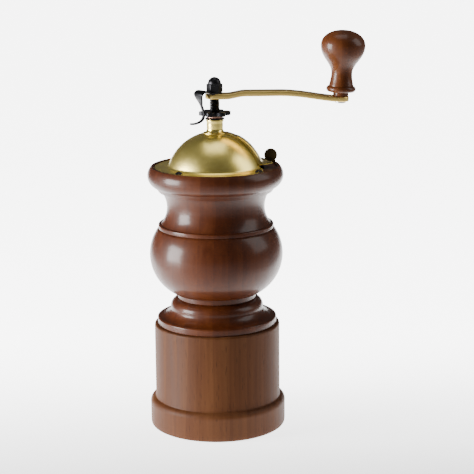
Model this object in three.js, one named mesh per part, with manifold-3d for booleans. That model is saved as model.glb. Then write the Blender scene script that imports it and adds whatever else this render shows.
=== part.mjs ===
// Manual coffee grinder: a turned wood body with a bean hopper, a brass dome
// with a filling door, a crank on top, conical burrs inside, and a cup below.
// Millimetres, +Z up, origin at the centre of the flat base, crank along +X.
import * as THREE from 'three';
import { mergeVertices } from 'three/addons/utils/BufferGeometryUtils.js';
import Module from 'manifold-3d';

const wasm = await Module();
wasm.setup();

// Clearances
const FIT_GAP = 0.3; // between pieces that are pushed together
const RUN_GAP = 0.2; // between faces that turn on each other
const SEAM_GAP = 0.1; // round a soldered piece

// Cup that catches the ground coffee
const CUP_HEIGHT = 67;
const CUP_RADIUS = 39.95;
const CUP_BORE_RADIUS = 33;
const CUP_FLOOR = 9;
const CUP_RIM_ROUND = 1.5;
const FOOT_RADIUS = 43.4;
const FOOT_HEIGHT = 18.3;
const FOOT_ROUND = 2;
const FOOT_SHOULDER = 4.4;

// Turned upper body, with heights taken from the rim of the cup
const SPIGOT_LENGTH = 10;
const LISTEL_RADIUS = 37.9;
const LISTEL_HEIGHT = 4.2;
const OVOLO_RADIUS = 29.4;
const OVOLO_BOTTOM = 9.3;
const OVOLO_TOP = 16;
const WAIST_RADIUS = 24.9;
const WAIST_TOP = 20;
const BELLY_BOTTOM_RADIUS = 27.2;
const BELLY_TOP_RADIUS = 36.9;
const BELLY_TOP = 61.2;
const BELLY_SWELL = 10.1;
const LIP_RADIUS = 36.4;
const LIP_HEIGHT = 2.6;
const COVE_RADIUS = 34.2;
const COVE_TOP = 85;
const COVE_DEPTH = 3.4;
const FILLET_RADIUS = 37.9;
const FILLET_TOP = 88.2;
const BEAD_SWELL = 3;
const BEAD_TOP_RADIUS = 40.4;
const BODY_HEIGHT = 101;
const TURNED_GROOVE = 0.7;
const RABBET_DEPTH = 1.3;
const HOPPER_RADIUS = 25.5;
const HOPPER_MOUTH_RADIUS = 30.5;
const HOPPER_BOTTOM = 41;
const HOPPER_FUNNEL = 12;
const MOUTH_HEIGHT = 6.7;
const MOUTH_TAPER = 10;

// Brass cap: a spherical dome on a flat flange, pressed from one sheet
const CAP_SHEET = 0.9;
const FLANGE_RADIUS = 38.3;
const DOME_RADIUS = 31.2;
const DOME_CENTRE = -8.4; // height of the sphere's centre above the flange's underside
const DOME_FOOT_ROUND = 2;
const PAD_RADIUS = 8;
const HATCH_HALF_ANGLE = 20; // degrees
const HATCH_TOP_RADIUS = 10.5;
const FLANGE_CHORD = 29.3; // where the flange is cut straight in front of the hatch

// Filling door: a second sheet that turns on the neck over the dome
const DOOR_HUB_RADIUS = 8;
const DOOR_SHEET = 0.7;
const DOOR_HALF_ANGLE = 25; // degrees
const DOOR_FOOT_RADIUS = 30.2;
const DOOR_RIB_ANGLE = 15.5; // degrees
const DOOR_RIB_WIDTH = 1.1;
const DOOR_RIB_HEIGHT = 0.45;
const LIP_CLEARANCE = 2; // from the flange's top to the underside of the lip
const LIP_ROUND = 1.8;
const TONGUE_TIP = 36.2;
const TONGUE_HALF_WIDTH = 9.2;
const TAB_SHEET = 1;
const TAB_RADIUS = 4.1;
const TAB_REACH = 34.7;
const TAB_RISE = 7.7; // centre of the round tab above the flange's underside
const TAB_NECK_WIDTH = 2.1;
const TAB_NECK_REACH = 35.6;

// Brass neck that carries the top of the shaft
const NECK_HEIGHT = 8.95;
const NECK_FOOT_RADIUS = 6.1;
const NECK_WAIST_RADIUS = 5.5;
const NECK_BEAD_RADIUS = 6.25;
const NECK_COLLAR_RADIUS = 5.2;
const NECK_THREAD_RADIUS = 4.9;
const NECK_THREAD_LENGTH = 4.6;
const NECK_BORE_RADIUS = 4.25;
const NECK_NUT_FLATS = 13;
const NECK_NUT_HEIGHT = 2.6;
const BUSH_WALL = 0.6;
const BUSH_FLANGE_RADIUS = 6.05;
const BUSH_FLANGE = 0.6;

// Shaft and what sits on its top end
const SHAFT_RADIUS = 3.1;
const SHAFT_SQUARE = 4.4;
const SHAFT_END = 6.2; // above the clip
const WASHER_RADIUS = 4.7;
const WASHER_THICKNESS = 1.3;
const DISC_RADIUS = 10.3;
const DISC_THICKNESS = 2.6;
const DISC_LOBES = 6;
const NOTCH_RADIUS = 7.1;
const SHAFT_REACH = 7.9; // bare shaft between the disc and the crank
const NUT_FLATS = 9;
const NUT_HEX_HEIGHT = 5;
const NUT_DOME_RADIUS = 4.15;

// Crank arm, a flat brass bar that rises, runs level and dips to its end
const ARM_LENGTH = 78.2;
const ARM_THICKNESS = 3.1;
const ARM_HUB_RADIUS = 5.9;
const ARM_END_RADIUS = 5.3;
const ARM_RISE = 1.7;
const ARM_DROP = 2.3; // from the hub's level to the end's
const ARM_RISE_FROM = 7;
const ARM_RISE_TO = 19;
const ARM_FALL_FROM = 51;
const ARM_FALL_TO = 75;
const KNOB_TILT = 2.5; // degrees outwards

// Lock clip, a spring strip under the cap nut whose leg drops into a notch
const CLIP_SHEET = 1.1;
const CLIP_WIDTH = 9.4;
const CLIP_LEG_WIDTH = 2;
const CLIP_AZIMUTH = 215; // degrees
const CLIP_ARCH = 1.55;
const CLIP_SPLIT = 9; // reach at which the strip flexes

// Hand knob, with heights above the arm
const KNOB_HEIGHT = 41.9;
const KNOB_RADIUS = 14;
const KNOB_WIDEST = 31.7;
const KNOB_NECK_RADIUS = 6.5;
const KNOB_NECK = 14.5;
const KNOB_BEAD_RADIUS = 9.15;
const KNOB_BEAD = 4.5;
const KNOB_BEAD_HALF = 1.9;
const KNOB_FOOT_RADIUS = 4.8;
const SPINDLE_RADIUS = 2;
const SPINDLE_LENGTH = 24;
const SPINDLE_HEAD_RADIUS = 3.4;
const SPINDLE_HEAD = 1.1;

// Grinding set in the body's lower end
const SLEEVE_WALL = 1.6;
const SLEEVE_RADIUS = 20.2;
const SLEEVE_HEIGHT = 27;
const SLEEVE_LIP = 2;
const SLEEVE_LIP_RADIUS = 17;
const HOLDER_FLANGE_RADIUS = 27;
const HOLDER_FLANGE = 2;
const BRIDGE_ARMS = 3;
const BRIDGE_ARM_WIDTH = 4;
const BRIDGE_ARM_HEIGHT = 4;
const HUB_RADIUS = 5.8;
const HUB_HEIGHT = 8;
const HUB_BUSH_WALL = 0.9;
const HUB_BUSH_FLANGE = 0.8;
const PLATE_THICKNESS = 1.2;
const PLATE_HOLE_RADIUS = 16.4;
const RING_BURR_TOP_RADIUS = 16.8;
const RING_BURR_BOTTOM_RADIUS = 14.9;
const RING_BURR_TEETH = 28;
const RING_BURR_TOOTH = 0.7;
const CONE_HEIGHT = 15;
const CONE_TOP_RADIUS = 7.8;
const CONE_BOTTOM_RADIUS = 13.7;
const CONE_BOTTOM = 1; // above the spigot's end
const CONE_FINE_TEETH = 21;
const CONE_FINE_TOOTH = 0.5;
const CONE_RIDGES = 6;
const CONE_RIDGE_DEPTH = 1.7;
const CONE_TWIST = 50; // degrees from top to bottom
const SPRING_WIRE = 0.75;
const SPRING_RADIUS = 5.1;
const SPRING_TURNS = 4;
const SPRING_WASHER = 0.6;
const SPRING_PLAY = 0.5; // lift that the adjustment needs under the bridge
const BURR_WASHER_RADIUS = 7;
const BURR_WASHER = 1.2;
const BURR_NUT_FLATS = 10;
const BURR_NUT_HEIGHT = 5;
const SHAFT_TAIL = 0.9; // below the lower nut

// Screws
const CAP_SCREW_CIRCLE = 34.7;
const CAP_SCREW_AZIMUTHS = [-40, 40, 130, 230]; // degrees
const CAP_SCREW = { head: 2.4, rise: 1.5, shank: 1.25, length: 9, slot: 0.6 };
const HOLDER_SCREW_CIRCLE = 23.7;
const HOLDER_SCREW_AZIMUTHS = [90, 210, 330]; // degrees
const HOLDER_SCREW = { head: 2.9, rise: 1.8, shank: 1.5, length: 11, slot: 0.7 };

// Faces round each turned piece
const WOOD_SIDES = 36;
const CAST_SIDES = 24;
const METAL_SIDES = 18;
const WASHER_SIDES = 12;
const SCREW_SIDES = 8;

// Levels, worked out from the sizes above
const radians = THREE.MathUtils.degToRad;
const bodyZ = CUP_HEIGHT;
const spigotZ = bodyZ - SPIGOT_LENGTH;
const capZ = bodyZ + BODY_HEIGHT - RABBET_DEPTH;
const padRise = DOME_CENTRE + Math.sqrt(DOME_RADIUS ** 2 - PAD_RADIUS ** 2);
const neckZ = capZ + padRise;
const bushZ = neckZ + NECK_HEIGHT;
const washerZ = bushZ + BUSH_FLANGE + RUN_GAP;
const discZ = washerZ + WASHER_THICKNESS + RUN_GAP;
const armZ = discZ + DISC_THICKNESS + SHAFT_REACH;
const clipZ = armZ + ARM_THICKNESS;
const nutZ = clipZ + CLIP_SHEET;
const coneZ = spigotZ + CONE_BOTTOM;
const burrNutZ = coneZ - FIT_GAP - BURR_WASHER - BURR_NUT_HEIGHT;
const bridgeZ = spigotZ + SLEEVE_HEIGHT;
const bushOuter = NECK_BORE_RADIUS - FIT_GAP;
const bushInner = bushOuter - BUSH_WALL + SEAM_GAP;
const sleeveInner = SLEEVE_RADIUS - SLEEVE_WALL;

const material = (color, roughness, metalness) =>
  new THREE.MeshStandardMaterial({ color, roughness, metalness });
const lacqueredWood = material(0x5e2f17, 0.22, 0);
const satinWood = material(0x7a4526, 0.5, 0);
const brass = material(0xc9a650, 0.3, 1);
const burnishedBrass = material(0x46371d, 0.5, 1);
const blackSteel = material(0x26272a, 0.45, 0.8);
const steel = material(0x8f9194, 0.4, 1);
const copper = material(0xb98a7c, 0.35, 1);
const bronze = material(0x9a7442, 0.45, 1);

// Points of the arc from a to b, after a. It stands off its chord by the given
// height, to the right of its way where that is positive.
function arc(a, b, height, steps) {
  const half = Math.hypot(b[0] - a[0], b[1] - a[1]) / 2;
  const along = [(b[0] - a[0]) / (2 * half), (b[1] - a[1]) / (2 * half)];
  const aside = [along[1], -along[0]];
  const radius = (half ** 2 + height ** 2) / (2 * height);
  const reach = Math.asin(half / Math.abs(radius));
  return Array.from({ length: steps }, (_, i) => {
    const turn = reach * (2 * (i + 1) / steps - 1);
    return [0, 1].map((k) => (a[k] + b[k]) / 2 + aside[k] * (height - radius)
      + aside[k] * radius * Math.cos(turn) + along[k] * Math.abs(radius) * Math.sin(turn));
  });
}

// Points on a circle round (r, z), from one angle to another in degrees.
function sweep(r, z, radius, from, to, steps) {
  return Array.from({ length: steps + 1 }, (_, i) => {
    const angle = radians(from + (to - from) * i / steps);
    return [r + radius * Math.cos(angle), z + radius * Math.sin(angle)];
  });
}

// A geometry with positions only, shared corners and no flat triangles.
function clean(geometry) {
  const bare = geometry.clone();
  for (const name of Object.keys(bare.attributes)) {
    if (name !== 'position') bare.deleteAttribute(name);
  }
  const merged = mergeVertices(bare, 1e-4);
  const index = merged.index.array;
  const kept = [];
  for (let i = 0; i < index.length; i += 3) {
    const [a, b, c] = [index[i], index[i + 1], index[i + 2]];
    if (a !== b && b !== c && c !== a) kept.push(a, b, c);
  }
  merged.setIndex(kept);
  return merged;
}

function toSolid(geometry) {
  const closed = clean(geometry);
  return new wasm.Manifold(new wasm.Mesh({
    numProp: 3,
    vertProperties: new Float32Array(closed.attributes.position.array),
    triVerts: new Uint32Array(closed.index.array),
  }));
}

function fromSolid(solid) {
  const mesh = solid.getMesh();
  const geometry = new THREE.BufferGeometry();
  geometry.setAttribute('position', new THREE.BufferAttribute(mesh.vertProperties, 3));
  geometry.setIndex(new THREE.BufferAttribute(mesh.triVerts, 1));
  return geometry;
}

const combine = (way) => (first, ...others) =>
  fromSolid(others.reduce((whole, other) => whole[way](toSolid(other)), toSolid(first)));
const join = combine('add');
const cut = combine('subtract');
const common = combine('intersect');

// A solid turned about Z from a closed outline of [radius, height] points, which
// goes up its outside.
function turned(outline, sides = METAL_SIDES) {
  const points = outline.map(([r, z]) => new THREE.Vector2(r, z));
  return clean(new THREE.LatheGeometry(points, sides).rotateX(Math.PI / 2));
}

// A ring between two radii, its outline closed on itself.
function ring(inner, outer, low, high, sides = METAL_SIDES) {
  return turned([[inner, low], [outer, low], [outer, high], [inner, high], [inner, low]], sides);
}

// A flat shape in X and Y, raised from low to high.
function prism(shape, low, high, curveSegments = 8) {
  const depth = high - low;
  const raised = new THREE.ExtrudeGeometry(shape, { depth, bevelEnabled: false, curveSegments });
  return raised.translate(0, 0, low);
}

// A shape in X and Z, spread evenly to both sides of Y = 0.
function sideways(shape, width, curveSegments = 8) {
  const spread = new THREE.ExtrudeGeometry(shape, { depth: width, bevelEnabled: false, curveSegments });
  return spread.translate(0, 0, -width / 2).rotateX(Math.PI / 2);
}

// A box between two corners.
function block(low, high) {
  const size = high.map((value, i) => value - low[i]);
  return new THREE.BoxGeometry(...size).translate(...high.map((value, i) => (value + low[i]) / 2));
}

function hexagon(flats, low, high) {
  const raised = new THREE.CylinderGeometry(flats / Math.sqrt(3), flats / Math.sqrt(3), high - low, 6);
  return raised.rotateX(Math.PI / 2).rotateZ(Math.PI / 6).translate(0, 0, (low + high) / 2);
}

const outline = (points) => new THREE.Shape(points.map(([x, y]) => new THREE.Vector2(x, y)));
const polar = (radius, degrees) => [radius * Math.cos(radians(degrees)), radius * Math.sin(radians(degrees))];
const smooth = (from, to, x) => THREE.MathUtils.smoothstep(x, from, to);

const grinder = new THREE.Group();

function place(name, geometry, finish, group = grinder) {
  const mesh = new THREE.Mesh(clean(geometry), finish);
  mesh.geometry.computeVertexNormals();
  mesh.name = name;
  group.add(mesh);
  return mesh;
}

function frameAt(z, azimuth = 0) {
  const group = new THREE.Group();
  group.position.z = z;
  group.rotation.z = radians(azimuth);
  grinder.add(group);
  return group;
}

// Cup: a plain cylinder on a wider foot ring, bored out from above
{
  const footEdge = [FOOT_RADIUS, FOOT_HEIGHT - FOOT_SHOULDER];
  const footTop = [CUP_RADIUS + 1, FOOT_HEIGHT];
  place('base_cup', turned([
    [0, 0],
    ...sweep(FOOT_RADIUS - FOOT_ROUND, FOOT_ROUND, FOOT_ROUND, -90, 0, 3),
    footEdge,
    ...arc(footEdge, footTop, 0.95, 3),
    ...sweep(CUP_RADIUS + 1, FOOT_HEIGHT + 1, 1, 270, 180, 2).slice(1),
    ...sweep(CUP_RADIUS - CUP_RIM_ROUND, CUP_HEIGHT - CUP_RIM_ROUND, CUP_RIM_ROUND, 0, 90, 3),
    [CUP_BORE_RADIUS + 0.6, CUP_HEIGHT],
    [CUP_BORE_RADIUS, CUP_HEIGHT - 0.6],
    [CUP_BORE_RADIUS, CUP_FLOOR + 3],
    [CUP_BORE_RADIUS - 3, CUP_FLOOR],
    [0, CUP_FLOOR],
  ], WOOD_SIDES), satinWood);
}

// Upper body: listel, shoulder, ovolo, waist, belly, lip, cove and top bead,
// with a spigot for the cup below and a rabbet for the cap above
{
  const spigotRadius = CUP_BORE_RADIUS - FIT_GAP;
  const sleeveBore = SLEEVE_RADIUS + FIT_GAP;
  const rabbetFloor = BODY_HEIGHT - RABBET_DEPTH;
  const lipBottom = BELLY_TOP + TURNED_GROOVE;
  const listelTop = [LISTEL_RADIUS - TURNED_GROOVE, LISTEL_HEIGHT];
  const shoulderFoot = [LISTEL_RADIUS - 1.1, LISTEL_HEIGHT + 0.5];
  const ovoloFoot = [OVOLO_RADIUS, OVOLO_BOTTOM];
  const ovoloSide = [OVOLO_RADIUS, OVOLO_BOTTOM + 1];
  const ovoloTop = [WAIST_RADIUS + 0.3, OVOLO_TOP];
  const bellyFoot = [BELLY_BOTTOM_RADIUS, WAIST_TOP + 0.2];
  const bellyTop = [BELLY_TOP_RADIUS, BELLY_TOP];
  const coveFoot = [COVE_RADIUS + 0.4, lipBottom + LIP_HEIGHT];
  const coveTop = [COVE_RADIUS - 0.3, COVE_TOP];
  const beadFoot = [FILLET_RADIUS + 1.1, FILLET_TOP + 0.4];
  const beadTop = [BEAD_TOP_RADIUS, BODY_HEIGHT];
  const blank = turned([
    [sleeveBore, -SPIGOT_LENGTH],
    [spigotRadius - 0.8, -SPIGOT_LENGTH],
    [spigotRadius, 0.8 - SPIGOT_LENGTH],
    [spigotRadius, 0],
    [LISTEL_RADIUS - 0.5, 0],
    [LISTEL_RADIUS, 0.5],
    [LISTEL_RADIUS, LISTEL_HEIGHT - TURNED_GROOVE],
    listelTop,
    shoulderFoot,
    ...arc(shoulderFoot, ovoloFoot, -1.3, 3),
    ovoloSide,
    ...arc(ovoloSide, ovoloTop, 1.4, 3),
    [WAIST_RADIUS - TURNED_GROOVE, OVOLO_TOP + TURNED_GROOVE / 2],
    [WAIST_RADIUS, OVOLO_TOP + TURNED_GROOVE],
    [WAIST_RADIUS, WAIST_TOP],
    bellyFoot,
    ...arc(bellyFoot, bellyTop, BELLY_SWELL, 9),
    [BELLY_TOP_RADIUS - TURNED_GROOVE, BELLY_TOP + TURNED_GROOVE / 2],
    [LIP_RADIUS, lipBottom],
    [LIP_RADIUS, lipBottom + LIP_HEIGHT - 0.8],
    coveFoot,
    ...arc(coveFoot, coveTop, -COVE_DEPTH, 4),
    [FILLET_RADIUS - 2, COVE_TOP + 0.4],
    [FILLET_RADIUS, FILLET_TOP],
    beadFoot,
    ...arc(beadFoot, beadTop, BEAD_SWELL, 5),
    [FLANGE_RADIUS + FIT_GAP, BODY_HEIGHT],
    [FLANGE_RADIUS + FIT_GAP, rabbetFloor],
    [HOPPER_MOUTH_RADIUS, rabbetFloor],
    [HOPPER_MOUTH_RADIUS, rabbetFloor - MOUTH_HEIGHT],
    [HOPPER_RADIUS, rabbetFloor - MOUTH_HEIGHT - MOUTH_TAPER],
    [HOPPER_RADIUS, HOPPER_BOTTOM],
    [sleeveBore, HOPPER_BOTTOM - HOPPER_FUNNEL],
    [sleeveBore, -SPIGOT_LENGTH],
  ], WOOD_SIDES);
  const pilots = [
    ...CAP_SCREW_AZIMUTHS.map((azimuth) => {
      const depth = CAP_SCREW.length - CAP_SHEET + FIT_GAP;
      return ring(0, CAP_SCREW.shank + FIT_GAP, rabbetFloor - depth, rabbetFloor + 1, SCREW_SIDES)
        .translate(...polar(CAP_SCREW_CIRCLE, azimuth), 0);
    }),
    ...HOLDER_SCREW_AZIMUTHS.map((azimuth) => {
      const depth = HOLDER_SCREW.length - HOLDER_FLANGE - PLATE_THICKNESS + FIT_GAP;
      return ring(0, HOLDER_SCREW.shank + FIT_GAP, -1 - SPIGOT_LENGTH, depth - SPIGOT_LENGTH, SCREW_SIDES)
        .translate(...polar(HOLDER_SCREW_CIRCLE, azimuth), 0);
    }),
  ];
  place('upper_body', cut(blank, ...pilots), lacqueredWood, frameAt(bodyZ));
}

// A round-head screw that points down, with its head on the plane Z = 0
function screw({ head, rise, shank, length, slot }) {
  const domed = (head ** 2 + rise ** 2) / (2 * rise);
  const edge = THREE.MathUtils.radToDeg(Math.asin((domed - rise) / domed));
  const blank = turned([
    [0, -length],
    [shank * 0.4, -length + 1],
    [shank, -length + 3],
    [shank, 0],
    ...sweep(0, rise - domed, domed, edge, 90, 2),
  ], SCREW_SIDES);
  return cut(blank, block([-head, -slot / 2, rise * 0.45], [head, slot / 2, rise + 1]));
}

// Cap: dome, foot round and flange in one sheet, with the hatch cut through the
// dome and the flange cut off straight in front of it
function domeSheet(inner, outer, footRound, footHeight, sheet, rimRadius, holeRadius, top) {
  const centreZ = footHeight + sheet + footRound;
  const centreR = Math.sqrt((outer + footRound) ** 2 - (centreZ - DOME_CENTRE) ** 2);
  const lean = THREE.MathUtils.radToDeg(Math.atan2(centreZ - DOME_CENTRE, centreR));
  const crest = (radius, height) => THREE.MathUtils.radToDeg(Math.asin((height - DOME_CENTRE) / radius));
  return turned([
    [holeRadius, top - sheet],
    ...sweep(0, DOME_CENTRE, inner, crest(inner, top - sheet), lean, 5),
    ...sweep(centreR, centreZ, footRound + sheet, 180 + lean, 270, 3).slice(1),
    [rimRadius - sheet / 3, footHeight],
    [rimRadius, footHeight + sheet / 2],
    [rimRadius - sheet / 3, footHeight + sheet],
    ...sweep(centreR, centreZ, footRound, 270, 180 + lean, 3),
    ...sweep(0, DOME_CENTRE, outer, lean, crest(outer, top), 5).slice(1),
    [holeRadius, top],
    [holeRadius, top - sheet],
  ], WOOD_SIDES);
}

// A wedge in plan, from the axis out to a radius.
const wedge = (halfAngle, from, to) => outline([
  polar(from, -halfAngle), polar(to, -halfAngle), polar(to, halfAngle), polar(from, halfAngle),
]);
const wide = 2 * FLANGE_RADIUS;
{
  const cap = frameAt(capZ);
  const holeRadius = NECK_THREAD_RADIUS + SEAM_GAP;
  const inner = DOME_RADIUS - CAP_SHEET;
  const sheet = domeSheet(inner, DOME_RADIUS, DOME_FOOT_ROUND, 0, CAP_SHEET, FLANGE_RADIUS,
    holeRadius, padRise);
  const hatch = prism(wedge(HATCH_HALF_ANGLE, HATCH_TOP_RADIUS, wide), -1, padRise + 1);
  const chord = block([FLANGE_CHORD, -wide, -1], [wide, wide, DOME_FOOT_ROUND + 8]);
  const screwHoles = CAP_SCREW_AZIMUTHS.map((azimuth) =>
    ring(0, CAP_SCREW.shank + FIT_GAP, -1, CAP_SHEET + 1, SCREW_SIDES)
      .translate(...polar(CAP_SCREW_CIRCLE, azimuth), 0));
  place('dome_cap', cut(sheet, hatch, chord, ...screwHoles), brass, cap);
  CAP_SCREW_AZIMUTHS.forEach((azimuth, i) => {
    const mesh = place(`dome_screw_${i + 1}`, screw(CAP_SCREW), blackSteel, cap);
    mesh.position.set(...polar(CAP_SCREW_CIRCLE, azimuth), CAP_SHEET);
    mesh.rotation.z = radians(25 + 70 * i);
  });
}

// Filling door: a ring round the neck, a segment that lies over the dome, two
// pressed ribs and a tongue that turns out over the flange
{
  const door = frameAt(capZ);
  const inner = DOME_RADIUS + FIT_GAP;
  const outer = inner + DOOR_SHEET;
  const lipLow = CAP_SHEET + LIP_CLEARANCE;
  const hubTop = padRise + FIT_GAP + DOOR_SHEET;
  const hubHole = NECK_COLLAR_RADIUS + FIT_GAP;
  const sheet = domeSheet(inner, outer, LIP_ROUND, lipLow, DOOR_SHEET, TONGUE_TIP + 1, hubHole, hubTop);
  const tongue = new THREE.Shape();
  tongue.moveTo(DOOR_FOOT_RADIUS - 4, -TONGUE_HALF_WIDTH);
  tongue.lineTo(DOOR_FOOT_RADIUS, -TONGUE_HALF_WIDTH);
  tongue.quadraticCurveTo(DOOR_FOOT_RADIUS + 3.4, 2 - TONGUE_HALF_WIDTH, TONGUE_TIP, 0);
  tongue.quadraticCurveTo(DOOR_FOOT_RADIUS + 3.4, TONGUE_HALF_WIDTH - 2, DOOR_FOOT_RADIUS, TONGUE_HALF_WIDTH);
  tongue.lineTo(DOOR_FOOT_RADIUS - 4, TONGUE_HALF_WIDTH);
  const segment = outline([[0, 0], ...sweep(0, 0, DOOR_FOOT_RADIUS, -DOOR_HALF_ANGLE, DOOR_HALF_ANGLE, 8)]);
  const plan = join(
    ring(0, DOOR_HUB_RADIUS, -1, hubTop + 1),
    prism(segment, -1, hubTop + 1),
    prism(tongue, -1, hubTop + 1, 6),
  );
  const ribBand = turned([
    ...sweep(0, DOME_CENTRE, outer - 0.2, 64, 26, 6),
    ...sweep(0, DOME_CENTRE, outer + DOOR_RIB_HEIGHT, 27, 63, 6),
    sweep(0, DOME_CENTRE, outer - 0.2, 64, 64, 1)[0],
  ], WOOD_SIDES);
  const ribs = [-DOOR_RIB_ANGLE, DOOR_RIB_ANGLE].map((angle) =>
    block([0, -DOOR_RIB_WIDTH / 2, 0], [wide, DOOR_RIB_WIDTH / 2, wide]).rotateZ(radians(angle)));
  const slot = block(
    [TAB_NECK_REACH - SEAM_GAP, -TAB_SHEET / 2 - SEAM_GAP, 0],
    [wide, TAB_SHEET / 2 + SEAM_GAP, lipLow + DOOR_SHEET + 1],
  );
  const pressed = join(common(sheet, plan), common(ribBand, join(...ribs)));
  place('filling_door', cut(pressed, slot), brass, door);

  // Finger tab, a flat disc that stands on the tongue with its neck soldered
  // into a slot there, clear of the screw heads that it passes over
  const disc = outline(sweep(TAB_REACH, TAB_RISE, TAB_RADIUS, 0, 342, 19));
  const neckEnd = TAB_NECK_REACH + TAB_NECK_WIDTH;
  const neckLow = lipLow - SEAM_GAP;
  const neck = outline([
    [TAB_NECK_REACH, neckLow], [neckEnd, neckLow], [neckEnd, TAB_RISE - 2], [TAB_NECK_REACH, TAB_RISE - 2],
  ]);
  place('door_tab', join(sideways(disc, TAB_SHEET), sideways(neck, TAB_SHEET)), burnishedBrass, door);
}

// Neck, screwed through the dome with a nut beneath, and the bush inside it
{
  const neck = frameAt(neckZ);
  const footBottom = DOOR_SHEET + 2 * FIT_GAP;
  const waist = [NECK_WAIST_RADIUS, NECK_HEIGHT * 0.6];
  const beadFoot = [NECK_WAIST_RADIUS + 0.2, NECK_HEIGHT - 2.3];
  const beadTop = [NECK_BEAD_RADIUS - 0.5, NECK_HEIGHT];
  const footTop = [NECK_FOOT_RADIUS, footBottom + 0.7];
  place('neck', turned([
    [NECK_BORE_RADIUS, -NECK_THREAD_LENGTH],
    [NECK_THREAD_RADIUS, -NECK_THREAD_LENGTH],
    [NECK_THREAD_RADIUS, 0],
    [NECK_COLLAR_RADIUS, 0],
    [NECK_COLLAR_RADIUS, footBottom],
    [NECK_FOOT_RADIUS, footBottom],
    footTop,
    ...arc(footTop, waist, -0.25, 3),
    beadFoot,
    ...arc(beadFoot, beadTop, 0.6, 4),
    [NECK_BORE_RADIUS, NECK_HEIGHT],
    [NECK_BORE_RADIUS, -NECK_THREAD_LENGTH],
  ]), brass, neck);

  const nutTop = -CAP_SHEET;
  const nutBore = ring(0, NECK_THREAD_RADIUS + SEAM_GAP, -NECK_THREAD_LENGTH - 1, 1);
  const ringNut = hexagon(NECK_NUT_FLATS, nutTop - NECK_NUT_HEIGHT, nutTop);
  place('neck_nut', cut(ringNut, nutBore), brass, neck);

  place('neck_bush', turned([
    [bushInner, -NECK_THREAD_LENGTH],
    [bushOuter, -NECK_THREAD_LENGTH],
    [bushOuter, NECK_HEIGHT],
    [BUSH_FLANGE_RADIUS, NECK_HEIGHT],
    [BUSH_FLANGE_RADIUS, NECK_HEIGHT + BUSH_FLANGE],
    [bushInner, NECK_HEIGHT + BUSH_FLANGE],
    [bushInner, -NECK_THREAD_LENGTH],
  ]), blackSteel, neck);
}

// Thrust washer and adjusting disc, which turn with the shaft on the bush
const thrustWasher = ring(SHAFT_RADIUS + FIT_GAP, WASHER_RADIUS, 0, WASHER_THICKNESS, WASHER_SIDES);
place('thrust_washer', thrustWasher, copper, frameAt(washerZ));
{
  const stepsPerLobe = 10;
  const steps = DISC_LOBES * stepsPerLobe;
  const edge = Array.from({ length: steps }, (_, i) => {
    const wave = (1 - Math.cos(2 * Math.PI * i / stepsPerLobe)) / 2;
    return polar(THREE.MathUtils.lerp(NOTCH_RADIUS, DISC_RADIUS, wave), 360 * i / steps);
  });
  const bore = ring(0, SHAFT_RADIUS + FIT_GAP, -1, DISC_THICKNESS + 1);
  place('adjusting_disc', cut(prism(outline(edge), 0, DISC_THICKNESS), bore), blackSteel,
    frameAt(discZ, CLIP_AZIMUTH));
}

// Shaft from below the burrs up to the cap nut, squared where the crank sits
{
  const foot = burrNutZ - SHAFT_TAIL;
  const top = nutZ + SHAFT_END;
  const round = turned([
    [0, foot], [SHAFT_RADIUS - 0.6, foot], [SHAFT_RADIUS, foot + 0.6],
    [SHAFT_RADIUS, top - 0.8], [SHAFT_RADIUS - 0.8, top], [0, top],
  ]);
  const half = SHAFT_SQUARE / 2;
  const lower = ring(0, SHAFT_RADIUS + 1, foot - 1, armZ);
  const square = block([-half, -half, armZ - 1], [half, half, top + 1]);
  place('shaft', common(round, join(lower, square)), blackSteel);
}

// Crank arm: the side view gives its rise and dip, the plan its rounded ends
function armLevel(x) {
  const raised = ARM_RISE * smooth(ARM_RISE_FROM, ARM_RISE_TO, x);
  const end = -ARM_DROP - Math.tan(radians(KNOB_TILT)) * (x - ARM_LENGTH);
  return THREE.MathUtils.lerp(raised, end, smooth(ARM_FALL_FROM, ARM_FALL_TO, x));
}
{
  const stations = Array.from({ length: 25 }, (_, i) =>
    THREE.MathUtils.lerp(-ARM_HUB_RADIUS - 1, ARM_LENGTH + ARM_END_RADIUS + 1, i / 24));
  const upper = stations.map((x) => [x, armLevel(x) + ARM_THICKNESS]);
  const under = stations.map((x) => [x, armLevel(x)]);
  const bar = sideways(outline([...under, ...upper.reverse()]), 2 * ARM_HUB_RADIUS + 2);
  const lean = THREE.MathUtils.radToDeg(Math.asin((ARM_HUB_RADIUS - ARM_END_RADIUS) / ARM_LENGTH));
  const plan = outline([
    ...sweep(0, 0, ARM_HUB_RADIUS, 90 - lean, 270 + lean, 12),
    ...sweep(ARM_LENGTH, 0, ARM_END_RADIUS, lean - 90, 90 - lean, 12),
  ]);
  const hole = SHAFT_SQUARE / 2 + FIT_GAP;
  const spindleHole = ring(0, SPINDLE_RADIUS + FIT_GAP, -9, 9).rotateY(radians(KNOB_TILT))
    .translate(ARM_LENGTH, 0, -ARM_DROP);
  place('crank_arm', cut(
    common(bar, prism(plan, -9, 9)),
    block([-hole, -hole, -9], [hole, hole, 9]),
    spindleHole,
  ), brass, frameAt(armZ));
}

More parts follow.
